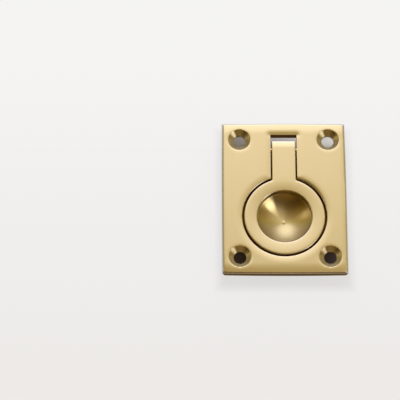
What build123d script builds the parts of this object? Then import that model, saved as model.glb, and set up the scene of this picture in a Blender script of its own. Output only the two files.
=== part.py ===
from build123d import *
import os
from math import asin, degrees

# Recessed pull handle in satin brass: a cast backplate with a finger cup behind it, a flat ring
# with a tongue that lies flush in a keyhole recess, and a short pin that the tongue turns on.
# Millimetres. The origin is the middle of the flange on its mounting face (z = 0). +Z leaves the
# polished face, +Y points to the pin end, and +X runs across.

# ---- backplate: flange ----
plate_width = 44.0           # from corner to corner; each side bows out past this
plate_length = 57.0
side_bow = 0.2               # how far the linished sides stand out at their middles
plate_thickness = 3.0
corner_radius = 0.8          # plan radius of the flange's corners
face_roll = 0.5              # arris round the polished face, softened by the buff
back_chamfer = 0.2

# ---- ring and tongue ----
ring_diameter = 28.8
eye_diameter = 19.5
ring_thickness = 3.0
tongue_width = 8.6
junction_radius = 0.5        # inside corner where the tongue leaves the ring
tongue_corner_radius = 0.5   # plan corners of the tongue's free end
ring_roll = 0.35             # arris round the eye
ring_edge_bevel = 0.15       # arris round the outline of the ring and its tongue
heel_radius = 1.4            # back of the tongue's free end, so that it clears as it swings

# ---- recess that the ring lies in ----
ring_gap = 0.7               # all round the ring, in plan
tongue_gap = 0.45            # on each side of the tongue
tail_gap = 2.3               # past the tongue's free end
seat_gap = 0.3               # between the ring's back and the recess floor
recess_margin = 6.25         # flange left below the recess
slot_margin = 4.25           # flange left above the slot
recess_bevel = 0.15

# ---- dish and cup ----
dish_depth = 3.75            # below the recess floor
nib_radius = 0.6             # nib that the turning tool leaves at the dish's centre
nib_height = 0.2
cup_wall = 2.0
cup_base_diameter = 19.0
cup_edge_chamfer = 0.4

# ---- pin ----
pin_diameter = 2.0
pin_setback = 3.3            # from the tongue's free end to the pin's axis
pin_seat_length = 3.0        # length of pin held in the flange on each side of the slot
pin_seat_clearance = 0.01
pin_end_clearance = 0.1
pin_running_clearance = 0.05
pin_chamfer = 0.2
stake_mouth_width = 1.5      # groove mouth after the flange is staked over the pin

# ---- screw holes: countersunk for No. 8 wood screws ----
screw_hole_diameter = 4.5
countersink_diameter = 8.0
countersink_angle = 90.0
screw_margin_x = 6.0         # from the flange's side edge to a hole
screw_margin_y = 6.2         # from the flange's end edge to a hole

# ---- worked out from the above ----
ring_radius = ring_diameter / 2
eye_radius = eye_diameter / 2
recess_radius = ring_radius + ring_gap
cup_radius = recess_radius + cup_wall
slot_width = tongue_width + 2 * tongue_gap
ring_y = -plate_length / 2 + recess_margin + recess_radius
slot_end_y = plate_length / 2 - slot_margin
tongue_end_y = slot_end_y - tail_gap
ring_back_z = plate_thickness - ring_thickness
floor_z = ring_back_z - seat_gap
dish_bottom_z = floor_z - dish_depth
dish_radius = (eye_radius**2 + dish_depth**2) / (2 * dish_depth)
dish_rim_angle = degrees(asin(eye_radius / dish_radius))
nib_foot_angle = degrees(asin(nib_radius / dish_radius))
cup_base_z = dish_bottom_z - cup_wall
cup_shoulder_z = floor_z - cup_wall
window_start_y = ring_y + cup_radius
pin_y = tongue_end_y - pin_setback
pin_z = plate_thickness - ring_thickness / 2
pin_length = slot_width + 2 * pin_seat_length
screw_spacing_x = plate_width - 2 * screw_margin_x
screw_spacing_y = plate_length - 2 * screw_margin_y

cup_axis = Axis((0, ring_y, 0), (0, 0, 1))
cup_section = Plane.XZ.offset(-ring_y)

os.makedirs("parts", exist_ok=True)

# ---- backplate: one casting, turned and milled ----
with BuildPart() as backplate:
    with BuildSketch() as flange_outline:
        with BuildLine():
            side = ThreePointArc(
                (plate_width / 2, -plate_length / 2),
                (plate_width / 2 + side_bow, 0),
                (plate_width / 2, plate_length / 2),
            )
            mirror(side, about=Plane.YZ)
            end = ThreePointArc(
                (-plate_width / 2, plate_length / 2),
                (0, plate_length / 2 + side_bow),
                (plate_width / 2, plate_length / 2),
            )
            mirror(end, about=Plane.XZ)
        make_face()
        fillet(flange_outline.vertices(), corner_radius)
    extrude(amount=plate_thickness)
    chamfer(backplate.faces().sort_by(Axis.Z)[0].edges(), back_chamfer)
    fillet(backplate.faces().sort_by(Axis.Z)[-1].edges(), face_roll)

    # The cup behind the flange: a straight spigot, then a tapered bowl on a flat base.
    with BuildSketch(cup_section):
        with BuildLine():
            Polyline(
                (0, plate_thickness / 2),
                (cup_radius, plate_thickness / 2),
                (cup_radius, cup_shoulder_z),
                (eye_radius + cup_wall, cup_shoulder_z),
                (cup_base_diameter / 2, cup_base_z),
                (0, cup_base_z),
                close=True,
            )
        make_face()
    revolve(axis=cup_axis)
    turned_rims = backplate.edges().filter_by(GeomType.CIRCLE)
    base_rim = turned_rims.filter_by_position(Axis.Z, cup_base_z, cup_base_z)
    shoulder_rims = turned_rims.filter_by_position(Axis.Z, cup_shoulder_z, cup_shoulder_z)
    chamfer([*base_rim, shoulder_rims.sort_by(SortBy.LENGTH)[-1]], cup_edge_chamfer)

    # The keyhole recess: a round pocket for the ring and a channel for its tongue.
    with BuildSketch(Plane.XY.offset(floor_z)):
        with Locations((0, ring_y)):
            Circle(recess_radius)
        with Locations((0, ring_y)):
            Rectangle(slot_width, window_start_y - ring_y, align=(Align.CENTER, Align.MIN))
    extrude(amount=plate_thickness - floor_z, mode=Mode.SUBTRACT)

    # Past the cup the channel goes right through the flange, so that the tongue's heel can swing.
    with BuildSketch():
        with Locations((0, window_start_y)):
            Rectangle(slot_width, slot_end_y - window_start_y, align=(Align.CENTER, Align.MIN))
    extrude(amount=plate_thickness, mode=Mode.SUBTRACT)
    chamfer(backplate.faces().sort_by(Axis.Z)[-1].inner_wires()[0].edges(), recess_bevel)

    # The dish under the ring's eye, with the turning nib at its centre.
    with BuildSketch(cup_section):
        with BuildLine():
            bowl = CenterArc(
                (0, dish_bottom_z + dish_radius),
                dish_radius,
                nib_foot_angle - 90,
                dish_rim_angle - nib_foot_angle,
            )
            nib = TangentArc((0, dish_bottom_z + nib_height), bowl @ 0, tangent=(1, 0))
            Polyline(bowl @ 1, (eye_radius, plate_thickness), (0, plate_thickness), nib @ 0)
        make_face()
    revolve(axis=cup_axis, mode=Mode.SUBTRACT)

    # The pin's seat: a groove from the back, staked shut to a narrower mouth.
    with BuildSketch(Plane.YZ):
        with Locations((pin_y, pin_z)):
            Circle(pin_diameter / 2 + pin_seat_clearance)
        with Locations((pin_y, pin_z)):
            Rectangle(stake_mouth_width, pin_z, align=(Align.CENTER, Align.MAX))
    extrude(amount=pin_length / 2 + pin_end_clearance, both=True, mode=Mode.SUBTRACT)

    with Locations(Plane.XY.offset(plate_thickness)):
        with GridLocations(screw_spacing_x, screw_spacing_y, 2, 2):
            CounterSinkHole(
                screw_hole_diameter / 2,
                countersink_diameter / 2,
                counter_sink_angle=countersink_angle,
            )

# ---- pull_ring: the flat ring and its tongue ----
with BuildPart() as pull_ring:
    with BuildSketch(Plane.XY.offset(ring_back_z)) as ring_outline:
        with Locations((0, ring_y)):
            Circle(ring_radius)
        with Locations((0, ring_y)):
            Rectangle(tongue_width, tongue_end_y - ring_y, align=(Align.CENTER, Align.MIN))
        junctions = ring_outline.vertices().group_by(Axis.Y)[-2]
        fillet(junctions, junction_radius)
        fillet(ring_outline.vertices().group_by(Axis.Y)[-1], tongue_corner_radius)
        with Locations((0, ring_y)):
            Circle(eye_radius, mode=Mode.SUBTRACT)
    extrude(amount=ring_thickness)
    chamfer(pull_ring.faces().sort_by(Axis.Z)[-1].outer_wire().edges(), ring_edge_bevel)
    fillet(pull_ring.faces().sort_by(Axis.Z)[-1].inner_wires()[0].edges(), ring_roll)
    with BuildSketch(Plane.YZ):
        with Locations((tongue_end_y, ring_back_z)):
            Rectangle(heel_radius, heel_radius, align=(Align.MAX, Align.MIN))
        with Locations((tongue_end_y - heel_radius, ring_back_z + heel_radius)):
            Circle(heel_radius, mode=Mode.SUBTRACT)
    extrude(amount=tongue_width, both=True, mode=Mode.SUBTRACT)
    with BuildSketch(Plane.YZ):
        with Locations((pin_y, pin_z)):
            Circle(pin_diameter / 2 + pin_running_clearance)
    extrude(amount=tongue_width, both=True, mode=Mode.SUBTRACT)

# ---- pivot_pin: a cut length of drawn rod ----
with BuildPart() as pivot_pin:
    with BuildSketch(Plane.YZ):
        with Locations((pin_y, pin_z)):
            Circle(pin_diameter / 2)
    extrude(amount=pin_length / 2, both=True)
    chamfer(pivot_pin.edges().filter_by(GeomType.CIRCLE), pin_chamfer)

backplate.part.label = "backplate"
pull_ring.part.label = "pull_ring"
pivot_pin.part.label = "pivot_pin"

export_step(backplate.part, "parts/backplate.step")
export_step(pull_ring.part, "parts/pull_ring.step")
export_step(pivot_pin.part, "parts/pivot_pin.step")
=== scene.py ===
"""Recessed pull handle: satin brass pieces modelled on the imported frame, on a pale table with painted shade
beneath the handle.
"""

import logging
import math
from contextlib import contextmanager
from dataclasses import dataclass, field
from enum import Enum, IntEnum
from typing import Callable, Iterator

import bmesh
import bpy
from bmesh.types import BMEdge, BMesh, BMFace, BMVert
from bpy.types import Material, Node, NodeSocket, NodeTree, Object
from mathutils import Matrix, Vector


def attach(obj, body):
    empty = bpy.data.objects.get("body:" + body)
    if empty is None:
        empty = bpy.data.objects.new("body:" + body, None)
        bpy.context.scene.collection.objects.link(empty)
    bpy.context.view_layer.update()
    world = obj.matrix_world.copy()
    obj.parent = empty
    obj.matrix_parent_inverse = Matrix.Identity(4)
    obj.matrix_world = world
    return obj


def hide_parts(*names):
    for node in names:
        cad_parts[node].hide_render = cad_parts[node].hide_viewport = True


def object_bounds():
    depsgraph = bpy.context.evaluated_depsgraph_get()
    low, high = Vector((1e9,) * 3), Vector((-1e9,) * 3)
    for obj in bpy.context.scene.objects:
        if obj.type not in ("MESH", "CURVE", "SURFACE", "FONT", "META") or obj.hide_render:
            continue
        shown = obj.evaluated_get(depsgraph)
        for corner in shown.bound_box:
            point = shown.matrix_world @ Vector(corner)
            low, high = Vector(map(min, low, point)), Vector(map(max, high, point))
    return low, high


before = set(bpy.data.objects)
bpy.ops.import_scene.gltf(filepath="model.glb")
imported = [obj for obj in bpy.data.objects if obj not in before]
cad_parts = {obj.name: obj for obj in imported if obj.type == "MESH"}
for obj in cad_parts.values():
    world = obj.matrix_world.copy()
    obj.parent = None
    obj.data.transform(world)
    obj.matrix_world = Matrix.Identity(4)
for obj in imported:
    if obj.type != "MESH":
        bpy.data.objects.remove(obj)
CAD_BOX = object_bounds()

MM = 0.001
X_AXIS = Vector((1, 0, 0))
Y_AXIS = Vector((0, 1, 0))
Z_AXIS = Vector((0, 0, 1))
QUARTER_TURN_Y = Matrix.Rotation(math.pi / 2, 3, "Y")

# The Mix node's colour sockets, by number, since its sockets share their names.
COLOUR_A, COLOUR_B, COLOUR_OUT = 6, 7, 2
TO_WORLD = {"vector_type": "VECTOR", "convert_from": "OBJECT", "convert_to": "WORLD"}

SAME_POINT = 0.0005 * MM    # points closer than this are one point
SAME_LENGTH = 0.002 * MM    # lengths closer than this are the same
HAIR = 0.02 * MM            # a face this near to a level lies on it
CLOSE = 0.05 * MM           # a face or an edge this near to a feature belongs to it
FACE_BAND = 2.2 * MM        # what stands higher than this belongs to the polished face
OVER = 5 * MM               # how high a cutter stands, to come clear of the polished face
CRISP_DEGREES = 60          # an edge that turns more than this is as the cutter left it

# How steep a face is, by its normal's Z.
LEVEL = 0.999               # larger: level
ARRIS = (0.2, 0.985)        # between: part of an arris
WALL = 0.3                  # smaller, either way: a wall
UNDERSIDE = -0.5            # smaller: a back

Point = tuple[float, float]
Roll = tuple[float, float]  # how far in from a rim the buff rolls a face off, and how deep at the rim
log = logging.getLogger("recessed_pull")


# ---- colour and nodes ----


def linear(code: str) -> tuple[float, float, float, float]:
    """Turn an sRGB hex colour into the linear colour that a shader socket takes.

    Args:
        code: Six hex digits, with or without a leading hash.

    Returns:
        Linear red, green and blue, and an alpha of one.
    """
    digits = code.lstrip("#")
    channels = [int(digits[i:i + 2], 16) / 255 for i in (0, 2, 4)]
    return (*[c / 12.92 if c <= 0.04045 else ((c + 0.055) / 1.055) ** 2.4 for c in channels], 1.0)


def add_node(tree: NodeTree, kind: str, inputs: dict | None = None, **settings: object) -> Node:
    """Add one node with its settings, its socket values and its incoming links.

    Args:
        tree: The node tree that takes the node.
        kind: The node's type name, after "ShaderNode".
        inputs: Socket name or number to a value, or to the output socket that feeds it, or to the node
            whose first output does.
        **settings: Properties set on the node before its sockets are filled.

    Returns:
        The new node.
    """
    node = tree.nodes.new("ShaderNode" + kind)
    for name, value in settings.items():
        setattr(node, name, value)
    for socket, value in (inputs or {}).items():
        if isinstance(value, Node):
            value = value.outputs[0]
        if isinstance(value, NodeSocket):
            tree.links.new(value, node.inputs[socket])
        else:
            node.inputs[socket].default_value = value
    return node


def new_material(name: str) -> tuple[Material, NodeTree]:
    """Make an empty node material.

    Args:
        name: The material's name.

    Returns:
        The material and its cleared node tree.
    """
    material = bpy.data.materials.new(name)
    material.use_nodes = True
    material.node_tree.nodes.clear()
    return material, material.node_tree


# ---- finishes ----


@dataclass(frozen=True, kw_only=True)
class Finish:
    """Bare brass as one way of working it leaves it, its patterns laid on the piece's own coordinates."""

    name: str
    colour: str
    roughness: float
    roughness_swing: float = 0.0

    @property
    def rough_range(self) -> dict[str, float]:
        """Give the roughness at each end of a pattern."""
        return {"To Min": self.roughness - self.roughness_swing,
                "To Max": self.roughness + self.roughness_swing}

    def pattern(self, tree: NodeTree, place: NodeSocket) -> dict[str, object]:
        """Build the patterns; each finish has its own.

        Args:
            tree: The material's node tree.
            place: The place on the piece.

        Returns:
            What the patterns feed into the metal.
        """
        raise NotImplementedError

    def material(self) -> Material:
        """Build the node material.

        Returns:
            The finished material.
        """
        material, tree = new_material(self.name)
        place = add_node(tree, "TexCoord").outputs["Object"]
        metal = add_node(tree, "BsdfPrincipled", {"Metallic": 1.0, **self.pattern(tree, place)})
        add_node(tree, "OutputMaterial", {"Surface": metal})
        return material


@dataclass(frozen=True, kw_only=True)
class LinishedBrass(Finish):
    """Satin brass: flat faces linished along the handle, then mopped, so the shine is soft and even."""

    name: str = "satin_brass_linished"
    colour: str = "#F3E0B2"
    deep_colour: str = "#F1DCAB"
    roughness: float = 0.21
    roughness_swing: float = 0.015
    anisotropy: float = 0.3
    grain_mm: tuple[float, float, float] = (0.16, 7.0, 0.16)  # as coarse as it needs to be to show
    grain_depth_mm: float = 0.01
    grain_relief: float = 0.03
    mottle_mm: float = 5.0

    def pattern(self, tree: NodeTree, place: NodeSocket) -> dict[str, object]:
        """Lay the grain along Y, over a faint mottle.

        Args:
            tree: The material's node tree.
            place: The place on the piece.

        Returns:
            What the patterns feed into the metal.
        """
        stretched = add_node(tree, "Mapping", {
            "Vector": place, "Scale": [1 / (size * MM) for size in self.grain_mm],
        })
        grain = add_node(tree, "TexNoise",
                         {"Vector": stretched, "Scale": 1.0, "Detail": 3.0, "Roughness": 0.6})
        cloud = add_node(tree, "TexNoise",
                         {"Vector": place, "Scale": 1 / (self.mottle_mm * MM), "Detail": 2.0})
        tone = add_node(tree, "Mix", {
            0: cloud, COLOUR_A: linear(self.colour), COLOUR_B: linear(self.deep_colour),
        }, data_type="RGBA")
        rough = add_node(tree, "MapRange", {"Value": grain, **self.rough_range})
        relief = add_node(tree, "Bump", {
            "Height": grain, "Strength": self.grain_relief, "Distance": self.grain_depth_mm * MM,
        })
        tangent = add_node(tree, "VectorTransform", {"Vector": X_AXIS}, **TO_WORLD)
        return {"Base Color": tone.outputs[COLOUR_OUT], "Roughness": rough, "Anisotropic": self.anisotropy,
                "Normal": relief, "Tangent": tangent}


# The arrises of the backplate and the ring, where the mop bears hardest: smoother, and painted paler as a
# painted highlight.
BURNISHED_ARRIS_PAINTED_HIGHLIGHT = LinishedBrass(name="brass_arris_burnished_painted_highlight", colour="#FBF3E2", deep_colour="#F8EEDA",
                                roughness=0.17)


@dataclass(frozen=True, kw_only=True)
class TurnedBrass(Finish):
    """Brass cut on a lathe: fine rings round an axis throw each light out as a fan towards the centre.

    The marks run round `centre`, and `mirrored` repeats them in all four quarters. Further out from the
    centre the colour is painted dark brown, as painted shade for the shaded gap round the ring, fully so
    a little further out.
    """

    centre: Vector
    mirrored: bool = False
    colour: str = "#F1DCA8"
    roughness: float = 0.24
    roughness_swing: float = 0.05
    anisotropy: float = 0.94
    ring_pitch_mm: float = 0.12  # coarser than real, to show
    unshaded_to: float = 1.0
    fully_shaded_from: float = 2.0
    painted_shade_colour: str = "#6A4612"

    def pattern(self, tree: NodeTree, place: NodeSocket) -> dict[str, object]:
        """Lay the tool's rings round the centre.

        Args:
            tree: The material's node tree.
            place: The place on the piece.

        Returns:
            What the patterns feed into the metal.
        """
        quarter = place
        if self.mirrored:
            quarter = add_node(tree, "VectorMath", {0: place}, operation="ABSOLUTE")
        offset = add_node(tree, "VectorMath", {0: quarter, 1: self.centre}, operation="SUBTRACT")
        outward = add_node(tree, "VectorMath", {0: offset, 1: (1, 1, 0)}, operation="MULTIPLY")
        spoke = outward
        if self.mirrored:
            side = add_node(tree, "VectorMath", {0: place}, operation="SIGN")
            spoke = add_node(tree, "VectorMath", {0: outward, 1: side}, operation="MULTIPLY")
        radius = add_node(tree, "VectorMath", {0: outward}, operation="LENGTH").outputs["Value"]
        turn = add_node(tree, "Math", {0: radius, 1: self.ring_pitch_mm * MM}, operation="DIVIDE")
        rings = add_node(tree, "TexNoise", {"W": turn, "Scale": 1.0, "Detail": 3.0}, noise_dimensions="1D")
        rough = add_node(tree, "MapRange", {"Value": rings, **self.rough_range})
        # Painted shade: past one radius from the centre the colour turns dark brown, where the gap round the
        # ring lies in shade.
        painted_shade = add_node(tree, "MapRange",
                         {"Value": radius, "From Min": self.unshaded_to, "From Max": self.fully_shaded_from})
        tone = add_node(tree, "Mix", {
            0: painted_shade, COLOUR_A: linear(self.colour), COLOUR_B: linear(self.painted_shade_colour),
        }, data_type="RGBA")
        unit = add_node(tree, "VectorMath", {0: spoke}, operation="NORMALIZE")
        tangent = add_node(tree, "VectorTransform", {"Vector": unit}, **TO_WORLD)
        return {"Base Color": tone.outputs[COLOUR_OUT], "Roughness": rough, "Anisotropic": self.anisotropy,
                "Tangent": tangent}


@dataclass(frozen=True, kw_only=True)
class MarkedBrass(Finish):
    """Brass whose marks, `mark_mm` long on X, Y and Z, only make its roughness uneven."""

    mark_mm: tuple[float, float, float]

    def pattern(self, tree: NodeTree, place: NodeSocket) -> dict[str, object]:
        """Lay the marks.

        Args:
            tree: The material's node tree.
            place: The place on the piece.

        Returns:
            What the patterns feed into the metal.
        """
        stretched = add_node(tree, "Mapping", {
            "Vector": place, "Scale": [1 / (size * MM) for size in self.mark_mm],
        })
        marks = add_node(tree, "TexNoise", {"Vector": stretched, "Scale": 1.0, "Detail": 2.0})
        rough = add_node(tree, "MapRange", {"Value": marks, **self.rough_range})
        return {"Base Color": linear(self.colour), "Roughness": rough}


@dataclass(frozen=True, kw_only=True)
class MilledBrass(MarkedBrass):
    """Walls that the cutter leaves and the mop can't reach: painted a darker brown as painted shade, since
    they lie in recesses, slots and gaps.
    """

    name: str = "brass_milled_painted_shade"
    colour: str = "#BC8A26"
    roughness: float = 0.42
    roughness_swing: float = 0.08
    mark_mm: tuple[float, float, float] = (3.0, 3.0, 0.25)  # feed marks, stacked in height


@dataclass(frozen=True, kw_only=True)
class DrawnBrass(MarkedBrass):
    """Bright drawn rod: smooth, with faint die lines along its length."""

    name: str = "drawn_brass_bright"
    colour: str = "#F2DA9E"
    roughness: float = 0.17
    roughness_swing: float = 0.05
    mark_mm: tuple[float, float, float] = (5.4, 0.09, 0.09)


@dataclass(frozen=True, kw_only=True)
class CastBrass(Finish):
    """The hidden back as it leaves the sand and the tumbler: duller, with a fine pebbled skin."""

    name: str = "cast_brass_tumbled"
    colour: str = "#D9BC7C"
    stain_colour: str = "#C3A264"
    roughness: float = 0.46
    pebble_mm: float = 0.45
    pebble_depth_mm: float = 0.05
    pebble_relief: float = 0.5
    stain_mm: float = 9.0

    def pattern(self, tree: NodeTree, place: NodeSocket) -> dict[str, object]:
        """Raise the pebbles, over cloudy stains.

        Args:
            tree: The material's node tree.
            place: The place on the piece.

        Returns:
            What the patterns feed into the metal.
        """
        pebbles = add_node(tree, "TexNoise",
                           {"Vector": place, "Scale": 1 / (self.pebble_mm * MM), "Detail": 4.0})
        stain = add_node(tree, "TexNoise",
                         {"Vector": place, "Scale": 1 / (self.stain_mm * MM), "Detail": 3.0})
        tone = add_node(tree, "Mix", {
            0: stain, COLOUR_A: linear(self.colour), COLOUR_B: linear(self.stain_colour),
        }, data_type="RGBA")
        relief = add_node(tree, "Bump", {
            "Height": pebbles, "Strength": self.pebble_relief, "Distance": self.pebble_depth_mm * MM,
        })
        return {"Base Color": tone.outputs[COLOUR_OUT], "Roughness": self.roughness, "Normal": relief}


# ---- modelling helpers ----


class Cut(Enum):
    """How one solid changes another."""

    JOIN = "UNION"
    REMOVE = "DIFFERENCE"


class Plane(Enum):
    """The planes that outlines are drawn in, by their two axes."""

    PLAN = (X_AXIS, Y_AXIS)
    FRONT = (X_AXIS, Z_AXIS)
    SIDE = (Y_AXIS, Z_AXIS)


class Outline:
    """A closed outline that a pen draws by lines and arcs, and that then becomes a solid."""

    def __init__(self, plane: Plane, start: Point, origin: Vector) -> None:
        """Put the pen down.

        Args:
            plane: The plane that the outline lies in.
            start: Where the outline starts in the plane.
            origin: The place in space that the outline's points are measured from.
        """
        self.across, self.up = plane.value
        self.origin = origin
        self.mesh = bmesh.new()
        self.first = self.mesh.verts.new(self.spot(start))
        self.tip = self.first

    def spot(self, point: Point) -> Vector:
        """Give a point's place in space."""
        return self.origin + self.across * point[0] + self.up * point[1]

    def line_to(self, *points: Point) -> None:
        """Draw straight lines.

        Args:
            *points: The ends of the lines, in order.
        """
        for point in points:
            corner = self.mesh.verts.new(self.spot(point))
            self.mesh.edges.new((self.tip, corner))
            self.tip = corner

    def arc(self, centre: Point, angle: float, steps: int) -> None:
        """Draw an arc.

        Args:
            centre: The arc's centre.
            angle: How far the pen turns, from the plane's first axis towards its second, in radians.
            steps: How many straight chords the arc has.
        """
        swung = bmesh.ops.spin(self.mesh, geom=[self.tip], cent=self.spot(centre),
                               axis=self.across.cross(self.up), angle=angle, steps=steps)
        self.tip = next(item for item in swung["geom_last"] if isinstance(item, BMVert))

    def fill(self) -> BMFace:
        """Close the outline on its first point and fill it.

        Returns:
            The new face.
        """
        self.mesh.edges.new((self.tip, self.first))
        return bmesh.ops.contextual_create(self.mesh, geom=self.mesh.edges[:])["faces"][0]

    def extruded(self, name: str, push: Vector) -> Object:
        """Push the filled outline into a solid.

        Args:
            name: The solid's name.
            push: How far and which way it is pushed.

        Returns:
            The solid.
        """
        pushed = bmesh.ops.extrude_face_region(self.mesh, geom=[self.fill()], use_keep_orig=True)
        moved = [item for item in pushed["geom"] if isinstance(item, BMVert)]
        bmesh.ops.translate(self.mesh, verts=moved, vec=push)
        return mesh_object(name, self.mesh)

    def turned(self, name: str, steps: int) -> Object:
        """Spin the outline, half a section with its ends on the upright axis, into a solid.

        Args:
            name: The solid's name.
            steps: How many steps a full turn has.

        Returns:
            The solid.
        """
        face = self.fill()
        rim = [edge for edge in face.edges if not on_axis(edge, self.origin)]
        bmesh.ops.delete(self.mesh, geom=[face], context="FACES_ONLY")
        bmesh.ops.spin(self.mesh, geom=rim + list({v for e in rim for v in e.verts}), cent=self.origin,
                       axis=Z_AXIS, angle=math.tau, steps=steps, use_merge=True)
        bmesh.ops.delete(self.mesh, geom=[e for e in self.mesh.edges if not e.link_faces], context="EDGES")
        return mesh_object(name, self.mesh)


def mesh_object(name: str, mesh: BMesh) -> Object:
    """Turn a bmesh into an object of the scene, faces outward.

    Args:
        name: The object's name.
        mesh: The bmesh, which is freed.

    Returns:
        The new object, at the origin.
    """
    bmesh.ops.remove_doubles(mesh, verts=mesh.verts, dist=SAME_POINT)
    bmesh.ops.recalc_face_normals(mesh, faces=mesh.faces)
    data = bpy.data.meshes.new(name)
    mesh.to_mesh(data)
    mesh.free()
    thing = bpy.data.objects.new(name, data)
    bpy.context.scene.collection.objects.link(thing)
    return thing


def cut_solid(body: Object, tool: Object, cut: Cut) -> None:
    """Join a tool solid to a body or take it away, and drop the tool.

    Args:
        body: The object that changes.
        tool: The solid that is joined or taken away.
        cut: Which of the two is done.
    """
    step = body.modifiers.new("cut", "BOOLEAN")
    step.operation = cut.value
    step.solver = "EXACT"
    step.object = tool
    shaped = body.evaluated_get(bpy.context.evaluated_depsgraph_get())
    fresh = bpy.data.meshes.new_from_object(shaped)
    body.modifiers.clear()
    body.data = fresh
    bpy.data.objects.remove(tool)


def bar(radius: float, length: float, segments: int) -> BMesh:
    """Make a round bar along Z, its middle at the origin.

    Args:
        radius: The bar's radius.
        length: The bar's length.
        segments: How many flats the bar has.

    Returns:
        The bar's mesh.
    """
    mesh = bmesh.new()
    bmesh.ops.create_cone(mesh, cap_ends=True, segments=segments, radius1=radius, radius2=radius,
                          depth=length)
    return mesh


def near(value: float, target: float, slack: float = SAME_LENGTH) -> bool:
    """Say whether two lengths are the same within a slack."""
    return abs(value - target) < slack


def on_axis(edge: BMEdge, centre: Vector) -> bool:
    """Say whether both ends of an edge lie on the upright axis through a point."""
    return all((v.co - centre).xy.length < SAME_LENGTH for v in edge.verts)


def at_height(edge: BMEdge, height: float) -> bool:
    """Say whether an edge lies level at a height."""
    return all(near(v.co.z, height) for v in edge.verts)


def turn_of(edge: BMEdge) -> float:
    """Give the angle between an edge's two faces' normals, in degrees."""
    return math.degrees(edge.calc_face_angle(0.0))


def crisp_at(edge: BMEdge, height: float) -> bool:
    """Say whether an edge lies level at a height and is as the cutter left it."""
    return at_height(edge, height) and turn_of(edge) > CRISP_DEGREES


@contextmanager
def opened(thing: Object) -> Iterator[BMesh]:
    """Open a piece's mesh for shaping, and write it back afterwards.

    Args:
        thing: The piece.

    Yields:
        Its mesh.
    """
    mesh = bmesh.new()
    mesh.from_mesh(thing.data)
    yield mesh
    mesh.to_mesh(thing.data)
    mesh.free()


def soften(thing: Object, chosen: Callable[[BMEdge], bool], offset: float, segments: int) -> None:
    """Round the chosen edges of a piece.

    Args:
        thing: The piece.
        chosen: Says whether an edge is rounded.
        offset: The width of the rounding on each side.
        segments: How many steps the rounding has.
    """
    with opened(thing) as mesh:
        edges = [edge for edge in mesh.edges if len(edge.link_faces) == 2 and chosen(edge)]
        bmesh.ops.bevel(mesh, geom=edges, offset=offset, offset_type="OFFSET", affect="EDGES",
                        segments=segments, profile=0.5, material=-1, clamp_overlap=True)


def buff(thing: Object, face_z: float, pitch: float, fall: Callable[[float, float], float]) -> None:
    """Cut a piece's polished face into a square grid, and lower it where the buff has rolled it off.

    Args:
        thing: The piece.
        face_z: The height of its polished face.
        pitch: The side of a square.
        fall: Gives how far the face lies below a true plane at a place.
    """
    off_centre = 0.37  # so that no cut runs along an edge of the piece
    snap = 0.01 * MM   # a cut this near to a point goes through it

    def polished(mesh: BMesh) -> list[BMFace]:
        """List the faces that make up the polished face."""
        return [face for face in mesh.faces
                if face.normal.z > LEVEL and face.calc_center_median().z > face_z - HAIR]

    with opened(thing) as mesh:
        for axis in (X_AXIS, Y_AXIS):
            spots = [vert.co.dot(axis) for face in polished(mesh) for vert in face.verts]
            for step in range(math.ceil(min(spots) / pitch), math.floor(max(spots) / pitch) + 1):
                faces = polished(mesh)
                edges = {edge for face in faces for edge in face.edges}
                verts = {vert for face in faces for vert in face.verts}
                bmesh.ops.bisect_plane(mesh, geom=[*verts, *edges, *faces], dist=snap,
                                       plane_co=axis * (step + off_centre) * pitch, plane_no=axis)
        bmesh.ops.recalc_face_normals(mesh, faces=mesh.faces)
        for vert in mesh.verts:
            if vert.co.z >= FACE_BAND:
                vert.co.z -= fall(vert.co.x, vert.co.y)


def roll(distance: float, width: float, drop: float) -> float:
    """Give how far a buffed face falls at a distance from its rim.

    Args:
        distance: How far the place is from the rim.
        width: How far in from the rim the fall reaches.
        drop: The fall at the rim.

    Returns:
        The fall, which is largest at the rim and ends level.
    """
    return drop * max(0.0, 1 - max(distance, 0.0) / width) ** 2


def dress(thing: Object, finishes: list[Finish], pick: Callable[[BMFace], int],
          sharp_degrees: float = 32.0, weight: int = 60) -> None:
    """Give a piece its finishes, smooth shading and true normals.

    Args:
        thing: The piece.
        finishes: The finishes, in slot order.
        pick: Gives a face's slot.
        sharp_degrees: Edges that turn more than this stay crisp.
        weight: How much more than small faces large ones hold their normals; 50 is evenly.
    """
    thing.data.materials.clear()
    for finish in finishes:
        thing.data.materials.append(finish.material())
    with opened(thing) as mesh:
        for face in mesh.faces:
            face.smooth = True
            face.material_index = pick(face)
        for edge in mesh.edges:
            edge.smooth = len(edge.link_faces) == 2 and turn_of(edge) < sharp_degrees
    weighted = thing.modifiers.new("true normals", "WEIGHTED_NORMAL")
    weighted.keep_sharp = True
    weighted.weight = weight


def settle(thing: Object, body: str, node: str) -> Object:
    """Hang a finished piece on its body, in place of its plain node.

    Args:
        thing: The finished piece.
        body: The moving body that carries it.
        node: The plain node that it stands for.

    Returns:
        The piece.
    """
    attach(thing, body)
    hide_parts(node)
    return thing


# ---- the handle's own sizes ----


class PlateFinish(IntEnum):
    """The backplate's finishes, in slot order."""

    LINISHED = 0
    DISH = 1
    COUNTERSINK = 2
    CAST = 3
    MILLED = 4
    ARRIS = 5
    PAINTED_SHADE_EDGE = 6


class RingFinish(IntEnum):
    """The ring's finishes, in slot order."""

    MOPPED = 0
    PAINTED_SHADE_WALL = 1
    BORED_EYE = 2
    ARRIS = 3


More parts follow.
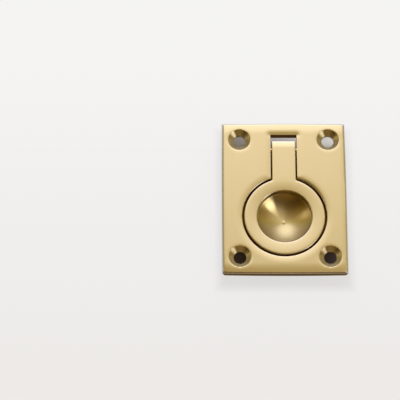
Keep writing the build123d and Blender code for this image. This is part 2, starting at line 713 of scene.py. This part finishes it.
@dataclass(frozen=True)
class Layout:
    """Sizes that more than one piece shares."""

    ring_centre: Vector = field(default_factory=lambda: Vector((0, -7.15, 0)) * MM)
    face_z: float = 3.0 * MM
    floor_z: float = -0.3 * MM
    pin_y: float = 18.65 * MM
    pin_z: float = 1.5 * MM

    def lay_on_pin(self, mesh: BMesh) -> None:
        """Turn a bar on Z so that it lies along the pin's axis."""
        bmesh.ops.rotate(mesh, verts=mesh.verts, cent=(0, 0, 0), matrix=QUARTER_TURN_Y)
        bmesh.ops.translate(mesh, verts=mesh.verts, vec=(0, self.pin_y, self.pin_z))


@dataclass
class Backplate:
    """The cast backplate: a flange with a keyhole recess, and the finger cup behind it."""

    layout: Layout
    width: float = 44.0 * MM
    length: float = 57.0 * MM
    side_bow: float = 0.198 * MM
    corner: float = 0.8 * MM
    face_arris: float = 0.5 * MM
    back_arris: float = 0.2 * MM
    recess_radius: float = 15.1 * MM
    slot_width: float = 9.5 * MM
    slot_end_y: float = 24.25 * MM
    recess_arris: float = 0.22 * MM
    slot_arris: float = 0.12 * MM
    countersink_arris: float = 0.12 * MM
    dish_arris: float = 0.2 * MM
    dish_mouth: float = 9.75 * MM
    dish_depth: float = 3.75 * MM
    nib_radius: float = 0.6 * MM
    nib_height: float = 0.13 * MM
    cup_top_z: float = 1.5 * MM
    cup_radius: float = 17.1 * MM
    cup_neck: float = 11.75 * MM
    cup_shoulder_z: float = -2.3 * MM
    cup_foot: float = 9.5 * MM
    cup_base_z: float = -6.05 * MM
    cup_arris: float = 0.4 * MM
    groove_radius: float = 1.01 * MM
    groove_length: float = 15.7 * MM
    groove_mouth: float = 1.5 * MM
    screw_x: float = 16.0 * MM
    screw_y: float = 22.3 * MM
    screw_hole: float = 2.25 * MM
    countersink: float = 4.0 * MM
    end_roll: Roll = (4.0 * MM, 0.18 * MM)
    side_roll: Roll = (2.6 * MM, 0.1 * MM)
    recess_roll: Roll = (2.6 * MM, 0.1 * MM)
    slot_end_roll: Roll = (1.8 * MM, 0.09 * MM)
    screw_roll: Roll = (0.9 * MM, 0.03 * MM)
    # One stroke of the mop has rolled the recess's rim harder, about this way from the ring's centre.
    mop_roll: Roll = (0.75 * MM, 0.22 * MM)
    mop_angle: float = math.radians(52)
    mop_narrowness: int = 8
    # How far past the dish's mouth the painted shade on the recess floor grows to full.
    painted_shade_reach: float = 3.0 * MM
    grid: float = 0.5 * MM

    def flange(self) -> Object:
        """Make the flat flange with bowed sides, rounded corners and arrises.

        Returns:
            The flange.
        """
        half_width, half_length = self.width / 2, self.length / 2
        side_steps, end_steps = 20, 16

        def bowed_by(half_side: float) -> tuple[float, float]:
            """Give the radius and the half angle of an arc that bows a side of this half length."""
            radius = (half_side ** 2 + self.side_bow ** 2) / (2 * self.side_bow)
            return radius, math.asin(half_side / radius)

        side_radius, side_angle = bowed_by(half_length)
        end_radius, end_angle = bowed_by(half_width)
        side_centre = half_width + self.side_bow - side_radius
        end_centre = half_length + self.side_bow - end_radius
        pen = Outline(Plane.PLAN, (half_width, -half_length), Vector())
        pen.arc((side_centre, 0), 2 * side_angle, side_steps)
        pen.arc((0, end_centre), 2 * end_angle, end_steps)
        pen.arc((-side_centre, 0), 2 * side_angle, side_steps)
        last = end_steps - 1
        pen.arc((0, -end_centre), 2 * end_angle * last / end_steps, last)
        plate = pen.extruded("backplate_satin", Z_AXIS * self.layout.face_z)
        soften(plate, lambda e: turn_of(e) > CRISP_DEGREES and not near(e.verts[0].co.z, e.verts[1].co.z),
               self.corner, segments=6)
        soften(plate, lambda e: at_height(e, self.layout.face_z), self.face_arris, segments=5)
        soften(plate, lambda e: at_height(e, 0.0), self.back_arris, segments=2)
        return plate

    def cup(self) -> Object:
        """Turn the spigot and the tapered bowl that stand behind the flange.

        Returns:
            The cup, as a solid.
        """
        centre = self.layout.ring_centre
        pen = Outline(Plane.FRONT, (0, self.cup_top_z), centre)
        pen.line_to((self.cup_radius, self.cup_top_z), (self.cup_radius, self.cup_shoulder_z),
                    (self.cup_neck, self.cup_shoulder_z), (self.cup_foot, self.cup_base_z),
                    (0, self.cup_base_z))
        cup = pen.turned("cup", steps=160)
        soften(cup, lambda e: at_height(e, self.cup_base_z) or at_height(e, self.cup_shoulder_z)
               and not near((e.verts[0].co - centre).xy.length, self.cup_neck, 4 * CLOSE),
               self.cup_arris, segments=3)
        return cup

    def recess(self) -> Object:
        """Make the keyhole cutter for the ring and its tongue.

        Returns:
            The cutter, which also opens the flange past the cup.
        """
        centre_y = self.layout.ring_centre.y
        half = self.slot_width / 2
        mouth_angle = math.asin(half / self.recess_radius)
        meet_y = centre_y + self.recess_radius * math.cos(mouth_angle)
        pen = Outline(Plane.PLAN, (half, meet_y), Z_AXIS * self.layout.floor_z)
        pen.line_to((half, self.slot_end_y), (-half, self.slot_end_y), (-half, meet_y))
        pen.arc((0, centre_y), math.tau - 2 * mouth_angle, steps=180)
        return pen.extruded("keyhole", Z_AXIS * OVER)

    def dish(self) -> Object:
        """Turn the cutter for the finger dish, with the nib that the tool leaves.

        Returns:
            The cutter.
        """
        ball = (self.dish_mouth ** 2 + self.dish_depth ** 2) / (2 * self.dish_depth)
        bottom = self.layout.floor_z - self.dish_depth
        nib_foot = math.asin(self.nib_radius / ball)
        nib_sides = [(0.45, 0.8), (0.8, 0.3)]  # shares of the nib's radius and height
        pen = Outline(Plane.FRONT, (0, bottom + self.nib_height), self.layout.ring_centre)
        pen.line_to(*[(self.nib_radius * out, bottom + self.nib_height * up) for out, up in nib_sides])
        pen.line_to((self.nib_radius, bottom + ball * (1 - math.cos(nib_foot))))
        pen.arc((0, bottom + ball), math.asin(self.dish_mouth / ball) - nib_foot, steps=28)
        pen.line_to((self.dish_mouth, OVER), (0, OVER))
        return pen.turned("dish", steps=144)

    def screw_cutter(self, side: int, end: int) -> Object:
        """Turn the cutter for one countersunk screw hole.

        Args:
            side: -1 for a hole on the left, 1 for one on the right.
            end: -1 for a hole at the ring's end, 1 for one at the pin's.

        Returns:
            The cutter.
        """
        face = self.layout.face_z
        depth = self.countersink - self.screw_hole
        over = 0.5 * MM  # how far the cone goes past the face
        pen = Outline(Plane.FRONT, (0, -MM), Vector((side * self.screw_x, end * self.screw_y, 0)))
        pen.line_to((self.screw_hole, -MM), (self.screw_hole, face - depth),
                    (self.countersink + over, face + over), (0, face + over))
        return pen.turned("screw", steps=72)

    def groove(self) -> Object:
        """Make the cutter for the pin's seat, whose mouth at the back is staked narrower.

        Returns:
            The cutter.
        """
        half = self.groove_mouth / 2
        below = math.asin(half / self.groove_radius)
        out = -2 * self.layout.pin_z  # well below the flange's back
        axis = Vector((-self.groove_length / 2, self.layout.pin_y, self.layout.pin_z))
        pen = Outline(Plane.SIDE, (half, -self.groove_radius * math.cos(below)), axis)
        pen.arc((0, 0), math.tau - 2 * below, steps=40)
        pen.line_to((-half, out), (half, out))
        return pen.extruded("groove", X_AXIS * self.groove_length)

    def beside_ring(self, edge: BMEdge) -> bool:
        """Say whether an edge lies on the round part of the recess."""
        centre = self.layout.ring_centre
        return all(near((v.co - centre).xy.length, self.recess_radius, CLOSE) for v in edge.verts)

    def fall(self, x: float, y: float) -> float:
        """Give how far the buffed face lies below a true plane at a place.

        Args:
            x: The place across.
            y: The place along.

        Returns:
            The fall.
        """
        side_x = self.width / 2 + self.side_bow * (1 - (2 * y / self.length) ** 2)
        end_y = self.length / 2 + self.side_bow * (1 - (2 * x / self.width) ** 2)
        from_ring = math.hypot(x, y - self.layout.ring_centre.y) - self.recess_radius
        from_slot = max(abs(x) - self.slot_width / 2, y - self.slot_end_y)
        beside_slot = math.hypot(max(abs(x) - self.slot_width / 2, 0.0), max(y - self.slot_end_y, 0.0))
        recess = min(from_ring, beside_slot if from_slot > 0 and y > self.layout.ring_centre.y else from_ring)
        screw = math.hypot(abs(x) - self.screw_x, abs(y) - self.screw_y) - self.countersink
        slot_end = math.hypot(max(abs(x) - self.slot_width / 2, 0.0), y - self.slot_end_y)
        off_stroke = math.atan2(y - self.layout.ring_centre.y, x) - self.mop_angle
        mopped = max(0.0, math.cos(off_stroke)) ** self.mop_narrowness
        return (roll(side_x - abs(x), *self.side_roll) + roll(end_y - abs(y), *self.end_roll)
                + roll(recess, *self.recess_roll) + roll(slot_end, *self.slot_end_roll)
                + roll(screw, *self.screw_roll) + mopped * roll(from_ring, *self.mop_roll))

    def finish_of(self, face: BMFace) -> PlateFinish:
        """Pick the finish of a face from its place and its slope.

        Args:
            face: The face.

        Returns:
            The finish.
        """
        middle, slope = face.calc_center_median(), face.normal.z
        from_ring = (middle - self.layout.ring_centre).xy.length
        from_screw = math.hypot(abs(middle.x) - self.screw_x, abs(middle.y) - self.screw_y)
        from_rim = min(self.width / 2 - abs(middle.x), self.length / 2 - abs(middle.y))
        past_slot = max(abs(middle.x) - self.slot_width / 2, middle.y - self.slot_end_y, -middle.y)
        if from_screw < self.countersink + CLOSE and middle.z > CLOSE:
            return PlateFinish.COUNTERSINK
        if from_ring < self.recess_radius - CLOSE and middle.z < 0 and slope > ARRIS[0]:
            return PlateFinish.DISH
        if middle.z > FACE_BAND and ARRIS[0] < slope < ARRIS[1]:
            return PlateFinish.ARRIS
        if abs(slope) < WALL and from_rim < MM:
            return PlateFinish.PAINTED_SHADE_EDGE
        if middle.z < HAIR and from_ring > self.recess_radius + CLOSE or slope < UNDERSIDE:
            return PlateFinish.CAST
        if middle.z < 0 or abs(slope) < WALL and min(from_ring - self.recess_radius, past_slot) < CLOSE:
            return PlateFinish.MILLED
        return PlateFinish.LINISHED

    def build(self) -> Object:
        """Cut, soften, shape and dress the backplate.

        Returns:
            The finished piece.
        """
        face_z = self.layout.face_z
        plate = self.flange()
        cut_solid(plate, self.cup(), Cut.JOIN)
        for tool in (self.recess(), self.dish(), self.groove()):
            cut_solid(plate, tool, Cut.REMOVE)
        for side, end in ((-1, -1), (-1, 1), (1, -1), (1, 1)):
            cut_solid(plate, self.screw_cutter(side, end), Cut.REMOVE)
        soften(plate, lambda e: crisp_at(e, face_z) and self.beside_ring(e), self.recess_arris, segments=4)
        soften(plate, lambda e: crisp_at(e, face_z), self.slot_arris, segments=3)
        # Next the rims of the cones, which turn 45 degrees from the face, and the mouth of the dish.
        soften(plate, lambda e: at_height(e, face_z) and 40 < turn_of(e) < 50, self.countersink_arris,
               segments=2)
        soften(plate, lambda e: at_height(e, self.layout.floor_z) and 35 < turn_of(e) < CRISP_DEGREES,
               self.dish_arris, segments=3)
        buff(plate, face_z, self.grid, self.fall)
        finishes = [
            LinishedBrass(),
            # The dish's finish turns dark brown past its mouth, as painted shade on the recess floor beneath
            # the ring.
            TurnedBrass(name="brass_turned_dish", centre=self.layout.ring_centre,
                        unshaded_to=self.dish_mouth, fully_shaded_from=self.dish_mouth + self.painted_shade_reach),
            # The countersinks' colour is paler than the dish's, as painted light that brightens the cones.
            TurnedBrass(name="brass_turned_countersink", centre=Vector((self.screw_x, self.screw_y, 0)),
                        mirrored=True, colour="#F7ECC8"),
            CastBrass(),
            MilledBrass(),
            BURNISHED_ARRIS_PAINTED_HIGHLIGHT,
            # The flange's outer walls: painted darker brass, as painted shade on the plate's sides.
            MilledBrass(name="brass_edge_painted_shade", colour="#B79A5C"),
        ]
        dress(plate, finishes, self.finish_of)
        return settle(plate, "plate_body", "backplate")


@dataclass
class PullRing:
    """The flat ring and its tongue, which lie flush in the recess."""

    layout: Layout
    radius: float = 14.4 * MM
    eye: float = 9.75 * MM
    tongue_width: float = 8.6 * MM
    tongue_end_y: float = 21.95 * MM
    junction: float = 0.5 * MM
    end_corner: float = 0.5 * MM
    heel: float = 1.4 * MM
    bore: float = 1.05 * MM
    bore_length: float = 12.0 * MM
    face_arris: float = 0.22 * MM
    eye_arris: float = 0.35 * MM
    back_arris: float = 0.15 * MM
    edge_roll: Roll = (0.7 * MM, 0.035 * MM)
    eye_roll: Roll = (4.4 * MM, 0.125 * MM)
    end_roll: Roll = (2.6 * MM, 0.26 * MM)
    grid: float = 0.4 * MM

    def blank(self) -> Object:
        """Cut the ring and tongue from plate, eye not yet bored.

        Returns:
            The blank.
        """
        centre_y = self.layout.ring_centre.y
        half = self.tongue_width / 2
        reach = self.radius + self.junction
        side = half + self.junction
        swing = math.acos(side / reach)
        side_y = centre_y + reach * math.sin(swing)
        end, corner = self.tongue_end_y, self.end_corner
        corner_steps = 5
        pen = Outline(Plane.PLAN, (half - corner, end), Vector())
        pen.line_to((corner - half, end))
        pen.arc((corner - half, end - corner), math.pi / 2, corner_steps)
        pen.line_to((-half, side_y))
        pen.arc((-side, side_y), -swing, steps=6)
        pen.arc((0, centre_y), math.tau - 2 * (math.pi / 2 - swing), steps=170)
        pen.arc((side, side_y), -swing, steps=6)
        pen.line_to((half, end - corner))
        last = corner_steps - 1
        pen.arc((half - corner, end - corner), math.pi / 2 * last / corner_steps, last)
        return pen.extruded("pull_ring_satin", Z_AXIS * self.layout.face_z)

    def heel_cutter(self) -> Object:
        """Make the cutter that rounds the back of the tongue's end, so that it clears as it swings.

        Returns:
            The cutter, which is what lies outside the heel's quarter circle.
        """
        start, past = self.tongue_end_y - self.heel, self.tongue_end_y + MM
        pen = Outline(Plane.SIDE, (start, 0), Vector((-self.tongue_width, 0, 0)))
        pen.arc((start, self.heel), math.pi / 2, steps=10)
        pen.line_to((past, self.heel), (past, -MM), (start, -MM))
        return pen.extruded("heel", X_AXIS * 2 * self.tongue_width)

    def fall(self, x: float, y: float) -> float:
        """Give how far the buffed face lies below a true plane at a place.

        Args:
            x: The place across.
            y: The place along.

        Returns:
            The fall.
        """
        centre_y = self.layout.ring_centre.y
        radius = math.hypot(x, y - centre_y)
        beside_ring = self.radius - radius
        beside_tongue = min(self.tongue_width / 2 - abs(x), self.tongue_end_y - y) if y > centre_y else -1.0
        edge = max(beside_ring, beside_tongue)
        return (roll(edge, *self.edge_roll) + roll(radius - self.eye, *self.eye_roll)
                + roll(self.tongue_end_y - y, *self.end_roll))

    def finish_of(self, face: BMFace) -> RingFinish:
        """Pick the finish of a face from its place and its slope.

        Args:
            face: The face.

        Returns:
            The finish.
        """
        middle, slope = face.calc_center_median(), face.normal.z
        if middle.z > FACE_BAND and ARRIS[0] < slope < ARRIS[1]:
            return RingFinish.ARRIS
        if abs(slope) < WALL and (middle - self.layout.ring_centre).xy.length < self.eye + 2 * CLOSE:
            return RingFinish.BORED_EYE
        return RingFinish.PAINTED_SHADE_WALL if slope < WALL else RingFinish.MOPPED

    def build(self) -> Object:
        """Cut, soften, shape and dress the ring.

        Returns:
            The finished piece.
        """
        face_z, centre = self.layout.face_z, self.layout.ring_centre
        ring = self.blank()
        eye = bar(self.eye, 2 * OVER, segments=144)
        bmesh.ops.translate(eye, verts=eye.verts, vec=centre)
        bore = bar(self.bore, self.bore_length, segments=48)
        self.layout.lay_on_pin(bore)
        for tool in (mesh_object("eye", eye), self.heel_cutter(), mesh_object("bore", bore)):
            cut_solid(ring, tool, Cut.REMOVE)
        soften(ring, lambda e: crisp_at(e, face_z) and (e.verts[0].co - centre).xy.length > self.radius - MM,
               self.face_arris, segments=4)
        soften(ring, lambda e: crisp_at(e, face_z)
               and near((e.verts[0].co - centre).xy.length, self.eye, CLOSE), self.eye_arris, segments=5)
        soften(ring, lambda e: crisp_at(e, 0.0), self.back_arris, segments=2)
        buff(ring, face_z, self.grid, self.fall)
        finishes = [
            LinishedBrass(name="satin_brass_ring_mopped"),
            # The ring's walls: a little darker than its face, as painted shade in the gap round it.
            MilledBrass(name="brass_ring_edge_painted_shade", colour="#E8C47A", roughness=0.6),
            # The eye's wall: painted a darker olive brass, as painted shade inside the eye.
            MilledBrass(name="brass_eye_bored_painted_shade", colour="#ACA06E", roughness=0.26),
            BURNISHED_ARRIS_PAINTED_HIGHLIGHT,
        ]
        dress(ring, finishes, self.finish_of)
        return settle(ring, "ring_body", "pull_ring")


@dataclass
class PivotPin:
    """The cut length of drawn rod that the tongue turns on."""

    layout: Layout
    radius: float = 1.0 * MM
    length: float = 15.5 * MM
    end_chamfer: float = 0.2 * MM

    def build(self) -> Object:
        """Cut the rod and break its ends.

        Returns:
            The finished piece.
        """
        mesh = bar(self.radius, self.length, segments=64)
        ends = [e for e in mesh.edges if near(e.verts[0].co.z, e.verts[1].co.z)]
        bmesh.ops.bevel(mesh, geom=ends, offset=self.end_chamfer, offset_type="OFFSET", affect="EDGES",
                        segments=2, profile=0.5, material=-1)
        self.layout.lay_on_pin(mesh)
        pin = mesh_object("pivot_pin_drawn", mesh)
        dress(pin, [DrawnBrass()], lambda f: 0)
        return settle(pin, "plate_body", "pivot_pin")


# ---- studio ----


@dataclass(frozen=True)
class Glow:
    """One soft light in the room: even in the middle, then fading out."""

    towards: Vector
    even_degrees: float
    gone_degrees: float
    radiance: float
    colour: str


@dataclass(frozen=True)
class Fade:
    """One mask of the table, which changes along a distance or another mask.

    It goes from `at_start` at `start` to `at_end` at `end`, where `at_end` may name another mask.
    """

    name: str
    along: str
    start: float
    end: float
    at_start: float
    at_end: float | str


@dataclass
class Studio:
    """The pale table, the soft lights and the camera."""

    floor_z: float
    floor_size: float = 6.0
    lens: float = 179.2
    nearest: float = 0.01
    camera_place: Vector = field(default_factory=lambda: Vector((-30.17, -254.78, 667.5)) * MM)
    camera_tilt: float = 20.9
    # Painted shade: the table's paint takes this darker colour beneath the part, outside its far end.
    shaded_paint: str = "#76707E"
    lit_paint: str = "#DCDCDE"
    # The wall is painted a little darker towards the near side, as a painted falloff of the far light.
    near_wall: str = "#F8F6F4"
    far_wall: str = "#FFFFFF"
    # How far the part's outline is moved, for each distance that is measured from it.
    outlines: tuple[tuple[str, Vector], ...] = (
        ("part", Vector((0, 0, 0))),
        ("shade", Vector((0.3, 3.1, 0)) * MM),
        ("contact", Vector((0.3, -1.0, 0)) * MM),
    )
    # To the camera the table is paint inside the part's outline, painted darker as shade there except at its
    # far end, and the bright wall outside it, drawn back close to the part as painted contact shade. The
    # metal mirrors paint near the part and the wall from afar.
    fades: tuple[Fade, ...] = (
        # Painted contact shade: close round the part the wall's share drops, so more of the paint and its
        # shadow shows.
        Fade("by_contact", "contact", 0.0, 3.5 * MM, 0.72, 0.86),
        Fade("clear", "shade", -0.4 * MM, 0.6 * MM, 0.0, "by_contact"),
        # Painted light: beneath the part's far end the wall glows through, more strongly towards the right.
        Fade("painted_glow_rightward", "x", -18 * MM, 18 * MM, 0.02, 0.5),
        Fade("under", "y", 20 * MM, 25 * MM, 0.0, "painted_glow_rightward"),
        Fade("in_metal", "part", 20 * MM, 150 * MM, 0.0, 0.86),
        # Painted light: beneath the part's far end the paint stays pale, where the far lamps reach in.
        Fade("far_end", "y", 14 * MM, 24 * MM, 0.0, 1.0),
        # Painted falloff: the wall grows brighter towards the far side.
        Fade("far", "y", -60 * MM, 60 * MM, 0.0, 1.0),
    )
    room: tuple[tuple[float, str], ...] = (
        (0.00, "#8A6A2C"), (0.20, "#140E04"), (0.35, "#583F08"), (0.45, "#816E38"), (0.55, "#8E7852"),
        (0.625, "#A39256"), (0.70, "#A39866"), (0.80, "#A89C88"), (0.90, "#ACA294"), (1.00, "#FFFFFF"),
    )
    glows: tuple[Glow, ...] = (
        Glow(Vector((-0.02, 0.65, 0.76)), 6, 28, 1.22, "#E7EAFF"),
        Glow(Vector((0.66, -0.40, 0.64)), 8, 16, 2.4, "#FFF8F2"),
        Glow(Vector((0.84, -0.46, 0.26)), 3, 24, 0.6, "#FFEFCF"),
        Glow(Vector((-0.85, 0.07, 0.52)), 3, 14, 0.55, "#FFF4E0"),
        Glow(Vector((0.37, -0.06, 0.93)), 5, 32, 0.28, "#FFFFF0"),
    )

    def masks(self, tree: NodeTree) -> dict[str, Node | NodeSocket]:
        """Build the table's masks.

        Args:
            tree: The node tree of the table's paint.

        Returns:
            What gives each mask, by name.
        """
        place = add_node(tree, "TexCoord").outputs["Object"]
        along = add_node(tree, "SeparateXYZ", {"Vector": place})
        made = {"x": along.outputs["X"], "y": along.outputs["Y"]}
        low, high = (Vector(corner) for corner in CAD_BOX)
        for name, shift in self.outlines:
            offset = add_node(tree, "VectorMath", {0: place, 1: (low + high) / 2 + shift},
                              operation="SUBTRACT")
            folded = add_node(tree, "VectorMath", {0: offset}, operation="ABSOLUTE")
            past = add_node(tree, "VectorMath", {0: folded, 1: (high - low) / 2}, operation="SUBTRACT")
            sides = add_node(tree, "SeparateXYZ", {"Vector": past})
            made[name] = add_node(tree, "Math", {0: sides.outputs["X"], 1: sides.outputs["Y"]},
                                  operation="MAXIMUM")
        for fade in self.fades:
            made[fade.name] = add_node(tree, "MapRange", {
                "Value": made[fade.along], "From Min": fade.start, "From Max": fade.end,
                "To Min": fade.at_start, "To Max": made.get(fade.at_end, fade.at_end),
            })
        return made

    def floor(self) -> Object:
        """Lay the pale table top, painted darker as shade beneath the part, with a painted glow beneath its
        far end.

        Returns:
            The table top.
        """
        mesh = bmesh.new()
        bmesh.ops.create_grid(mesh, x_segments=1, y_segments=1, size=self.floor_size / 2)
        bmesh.ops.translate(mesh, verts=mesh.verts, vec=(0, 0, self.floor_z))
        table = mesh_object("table_top", mesh)
        material, tree = new_material("pale_table_painted_shade_and_glow")
        mask = self.masks(tree)
        ray = add_node(tree, "LightPath").outputs
        # Painted light: beneath the part's far end some of the glowing wall shows, more towards the right.
        open_share = add_node(tree, "Math", {0: mask["clear"], 1: mask["under"]}, operation="MAXIMUM")
        seen = add_node(tree, "Math", {0: ray["Is Camera Ray"], 1: open_share}, operation="MULTIPLY")
        mirrored = add_node(tree, "Math", {0: ray["Is Glossy Ray"], 1: ray["Is Transmission Ray"]},
                            operation="MAXIMUM")
        shown = add_node(tree, "Math", {0: mirrored, 1: mask["in_metal"], 2: seen}, operation="MULTIPLY_ADD")
        # Painted shade: the paint is dark beneath the part and pale outside it and at its far end.
        lit = add_node(tree, "Math", {0: mask["clear"], 1: mask["far_end"]}, operation="MAXIMUM")
        shade = add_node(tree, "Mix", {
            0: lit, COLOUR_A: linear(self.shaded_paint), COLOUR_B: linear(self.lit_paint),
        }, data_type="RGBA")
        paint = add_node(tree, "BsdfDiffuse", {"Color": shade.outputs[COLOUR_OUT]})
        # Painted falloff of light: the glowing wall is a little darker towards the near side.
        wall = add_node(tree, "Mix", {
            0: mask["far"], COLOUR_A: linear(self.near_wall), COLOUR_B: linear(self.far_wall),
        }, data_type="RGBA")
        backdrop = add_node(tree, "Emission", {"Color": wall.outputs[COLOUR_OUT]})
        skin = add_node(tree, "MixShader", {0: shown, 1: paint, 2: backdrop})
        add_node(tree, "OutputMaterial", {"Surface": skin})
        table.data.materials.append(material)
        return table

    def sky(self) -> None:
        """Light the room: bright beyond the table's far edge, dim on the near side."""
        world = bpy.data.worlds.new("studio_room")
        bpy.context.scene.world = world
        world.use_nodes = True
        tree = world.node_tree
        tree.nodes.clear()
        way = add_node(tree, "TexCoord").outputs["Generated"]
        parts = add_node(tree, "SeparateXYZ", {"Vector": way})
        along = add_node(tree, "MapRange",
                         {"Value": parts.outputs["Y"], "From Min": -1.0, "From Max": 1.0})
        ramp = add_node(tree, "ValToRGB", {"Fac": along})
        stops = ramp.color_ramp.elements
        for place, code in self.room:
            stops.new(place).color = linear(code)
        # A new ramp's own stops go: black at 0 and white at 1, where the room ends in white too.
        stops.remove(stops[-1])
        stops.remove(stops[0])
        light = ramp
        for glow in self.glows:
            facing = add_node(tree, "VectorMath", {0: way, 1: glow.towards.normalized()},
                              operation="DOT_PRODUCT")
            share = add_node(tree, "MapRange", {
                "Value": facing.outputs["Value"],
                "From Min": math.cos(math.radians(glow.gone_degrees)),
                "From Max": math.cos(math.radians(glow.even_degrees)),
                "To Max": glow.radiance,
            }, interpolation_type="SMOOTHSTEP")
            light = add_node(tree, "VectorMath", {
                0: share, 1: linear(glow.colour)[:3], 2: light,
            }, operation="MULTIPLY_ADD").outputs[0]
        room = add_node(tree, "Background", {"Color": light})
        add_node(tree, "OutputWorld", {"Surface": room})

    def camera(self) -> None:
        """Set up the camera over the near edge of the table."""
        eye = bpy.data.cameras.new("camera")
        eye.lens = self.lens
        eye.clip_start = self.nearest
        holder = bpy.data.objects.new("camera", eye)
        holder.location = self.camera_place
        holder.rotation_euler = (math.radians(self.camera_tilt), 0, 0)
        bpy.context.scene.collection.objects.link(holder)
        bpy.context.scene.camera = holder

    def build(self) -> None:
        """Set up the table, the lights and the camera."""
        self.floor()
        self.sky()
        self.camera()
        bpy.context.scene.view_settings.view_transform = "Standard"


def main() -> None:
    """Build the handle and its studio."""
    logging.basicConfig(level=logging.INFO, format="%(name)s %(message)s")
    layout = Layout()
    for part in (Backplate(layout), PullRing(layout), PivotPin(layout)):
        piece = part.build()
        log.info("%s: %d faces, %d finishes", piece.name, len(piece.data.polygons), len(piece.data.materials))
    Studio(floor_z=CAD_BOX[0][2] - HAIR).build()


if __name__ == "__main__":
    main()
